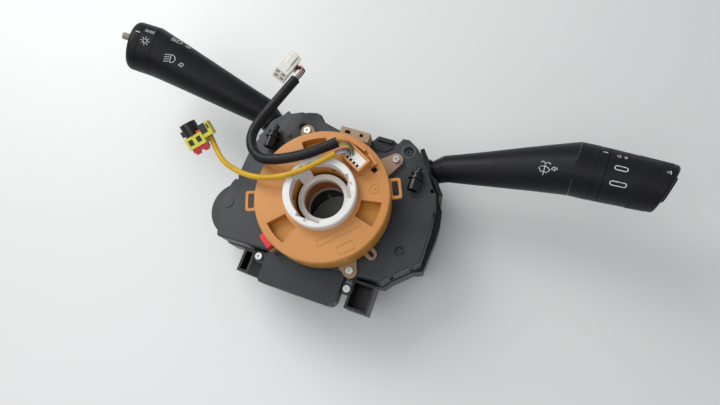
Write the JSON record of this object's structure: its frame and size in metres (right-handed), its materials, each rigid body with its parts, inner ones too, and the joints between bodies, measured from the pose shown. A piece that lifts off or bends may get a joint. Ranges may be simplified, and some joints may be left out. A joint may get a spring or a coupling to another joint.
{
  "type": "combination stalk switch",
  "caption": "Steering column combination switch: two stalk levers, a turning clock spring with two leads, and a steering angle sensor on a split clamp collar.",
  "frame": {"origin": "on the steering column's axis, at the bottom face of the clamp collar", "axes": "+Z along the column towards the driver, +X towards the right stalk, +Y towards the top of the steering wheel"},
  "size_m": [0.4382, 0.1759, 0.1094],
  "materials": {
    "cover_plastic": "satin moulded",
    "black_plastic": "fine grained",
    "stalk_plastic": "soft satin",
    "orange_plastic": "moulded",
    "tan_plastic": "moulded",
    "white_plastic": "smooth",
    "cream_plastic": "smooth",
    "red_plastic": "smooth",
    "yellow_plastic": "smooth",
    "grey_plastic": "smooth",
    "zinc_steel": "zinc plated",
    "spring_steel": "bright",
    "pin_brass": "tinned",
    "board": "solder mask",
    "magnet": "sintered",
    "ribbon": "film",
    "black_sleeve": "woven sleeve",
    "yellow_sleeve": "smooth sleeve",
    "wire": "insulated"
  },
  "bodies": {
    "housing": {"lower_housing": "black_plastic", "top_cover": "cover_plastic", "cover_screws": "zinc_steel", "release_tongue": "cover_plastic", "circuit_board": "board", "connector_pins": "pin_brass", "clamp_screw": "zinc_steel", "clamp_nut": "zinc_steel", "shroud_screw_grommets": "black_plastic", "shroud_screws": "zinc_steel", "sensor_housing": "black_plastic", "sensor_cover": "black_plastic", "sensor_board": "board", "sensor_screws": "zinc_steel", "stator_case": "tan_plastic", "stator_screws": "zinc_steel", "stator_connector_pins": "pin_brass", "ribbon_cable": "ribbon", "left_switch_shell": "black_plastic", "right_switch_shell": "black_plastic", "left_contact_board": "board", "right_contact_board": "board"},
    "rotor": {"rotor_cover": "orange_plastic", "rotor_hub": "white_plastic", "rotor_sleeve": "orange_plastic", "rotor_retainer": "white_plastic", "rotor_plug": "white_plastic", "sensor_ring_gear": "white_plastic", "plug_wires": "wire", "black_lead": "black_sleeve", "white_connector": "cream_plastic", "connector_wires": "wire", "yellow_lead": "yellow_sleeve", "airbag_plug_body": "black_plastic", "airbag_plug_cap": "yellow_plastic", "airbag_plug_lock": "red_plastic"},
    "gear_a": {"sensor_gear_a": "white_plastic", "sensor_magnet_a": "magnet"},
    "gear_b": {"sensor_gear_b": "white_plastic", "sensor_magnet_b": "magnet"},
    "lock_slider": {"red_lock_tab": "red_plastic"},
    "left_pivot": {"left_carrier": "white_plastic", "left_cross_pin": "zinc_steel", "left_detent_plunger": "spring_steel", "left_detent_spring": "spring_steel"},
    "right_pivot": {"right_carrier": "white_plastic", "right_cross_pin": "zinc_steel", "right_detent_plunger": "spring_steel", "right_detent_spring": "spring_steel"},
    "left_stalk": {"left_lever_body": "stalk_plastic", "left_spindle": "white_plastic", "left_end_cap": "stalk_plastic"},
    "left_dial": {"left_dial_ring": "stalk_plastic"},
    "left_tip": {"left_end_pin": "grey_plastic"},
    "right_stalk": {"right_lever_body": "stalk_plastic", "right_spindle": "white_plastic", "right_collar_ring": "stalk_plastic", "right_index_ring": "stalk_plastic"},
    "right_grip": {"right_knob": "stalk_plastic"},
    "right_button": {"right_end_button": "stalk_plastic"}
  },
  "joints": [
    {"name": "rotor_spin", "type": "hinge", "parent": "housing", "child": "rotor", "pos_m": [0, 0, 0.08], "axis": [0, 0, 1], "range_deg": [-720, 720]},
    {"name": "gear_a_spin", "type": "hinge", "parent": "housing", "child": "gear_a", "pos_m": [-0.01354, -0.03912, 0.054], "axis": [0, 0, 1], "range_deg": [-1830, 1830]},
    {"name": "gear_b_spin", "type": "hinge", "parent": "housing", "child": "gear_b", "pos_m": [0.01384, -0.03997, 0.054], "axis": [0, 0, 1], "range_deg": [-1700, 1700]},
    {"name": "lock_slide", "type": "slide", "parent": "housing", "child": "lock_slider", "axis": [-0.5878, -0.809, 0], "range_m": [0, 0.0025]},
    {"name": "left_tilt", "type": "hinge", "parent": "housing", "child": "left_pivot", "pos_m": [-0.0585, 0.0479, 0.0415], "axis": [0, 0, 1], "range_deg": [-8, 8]},
    {"name": "left_pull", "type": "hinge", "parent": "left_pivot", "child": "left_stalk", "pos_m": [-0.0585, 0.0479, 0.0415], "axis": [0.5052, 0.863, 0], "range_deg": [-4, 6], "stiffness_Nm_per_rad": 10},
    {"name": "right_tilt", "type": "hinge", "parent": "housing", "child": "right_pivot", "pos_m": [0.0555, 0.048, 0.042], "axis": [0, 0, 1], "range_deg": [-8, 8]},
    {"name": "right_pull", "type": "hinge", "parent": "right_pivot", "child": "right_stalk", "pos_m": [0.0555, 0.048, 0.042], "axis": [0.487, -0.8734, 0], "range_deg": [0, 6], "stiffness_Nm_per_rad": 10},
    {"name": "left_dial_turn", "type": "hinge", "parent": "left_stalk", "child": "left_dial", "pos_m": [-0.1838, 0.0789, 0.078], "axis": [-0.9317, -0.0998, 0.3494], "range_deg": [0, 60]},
    {"name": "left_tip_press", "type": "slide", "parent": "left_stalk", "child": "left_tip", "axis": [0.9317, 0.0998, -0.3494], "range_m": [0, 0.002], "stiffness_N_per_m": 300},
    {"name": "right_knob_turn", "type": "hinge", "parent": "right_stalk", "child": "right_grip", "pos_m": [0.166, 0.078, 0.076], "axis": [0.9851, -0.018, 0.171], "range_deg": [0, 60]},
    {"name": "right_button_press", "type": "slide", "parent": "right_grip", "child": "right_button", "axis": [-0.954, 0.2789, -0.1101], "range_m": [0, 0.0015], "stiffness_N_per_m": 300}
  ],
  "couplings": [
    {"joint": "gear_a_spin", "follows": "rotor_spin", "ratio": -2.5385},
    {"joint": "gear_b_spin", "follows": "rotor_spin", "ratio": -2.3571}
  ]
}
